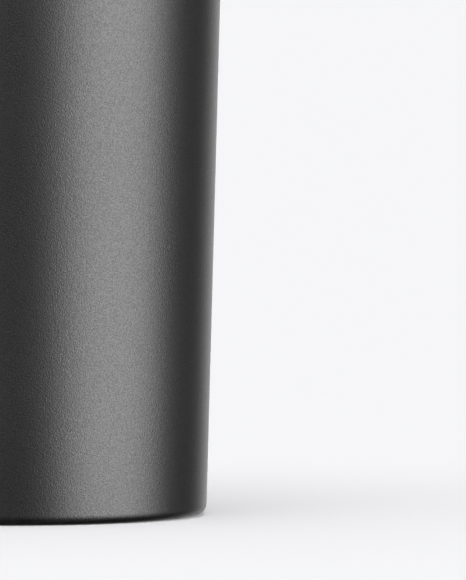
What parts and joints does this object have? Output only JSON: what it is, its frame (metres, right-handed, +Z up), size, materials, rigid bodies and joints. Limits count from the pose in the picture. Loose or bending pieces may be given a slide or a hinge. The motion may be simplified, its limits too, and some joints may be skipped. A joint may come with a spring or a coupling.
{
  "type": "shaving cream tube",
  "caption": "Squeeze tube of shaving cream standing on a tall tapered screw cap, with a sealed flat end, threaded neck, lined cap and snap-in nozzle.",
  "frame": {"origin": "centre of the face that the cap stands on, on the tube's axis", "axes": "+Z up along the axis from the cap to the end seal, +X along the flat end seal, -Y out of the front"},
  "size_m": [0.063, 0.04, 0.18],
  "materials": {
    "cap_plastic": "satin graphite metallic, fine grain",
    "liner_plastic": "moulded black",
    "wad_foam": "closed-cell foam",
    "insert_plastic": "natural white, waxy",
    "shoulder_plastic": "moulded black satin",
    "barrier_laminate": "silvery laminate",
    "sleeve_laminate": "satin graphite metallic laminate",
    "cream": "smooth opaque white cream"
  },
  "bodies": {
    "cap": {"cap_shell": "cap_plastic", "cap_liner": "liner_plastic", "seal_wad": "wad_foam"},
    "nozzle": {"nozzle_insert": "insert_plastic"},
    "tube": {"tube_shoulder": "shoulder_plastic", "barrier_insert": "barrier_laminate", "tube_sleeve": "sleeve_laminate", "shaving_cream": "cream"}
  },
  "joints": [
    {"name": "tube_lift", "type": "slide", "parent": "cap", "child": "nozzle", "axis": [0, 0, 1], "range_m": [0, 0.018]},
    {"name": "tube_turn", "type": "hinge", "parent": "nozzle", "child": "tube", "pos_m": [0, 0, 0.044], "axis": [0, 0, 1], "range_deg": [0, 1080]}
  ],
  "couplings": [
    {"joint": "tube_lift", "follows": "tube_turn", "m_per_rad": 0.00095493}
  ]
}
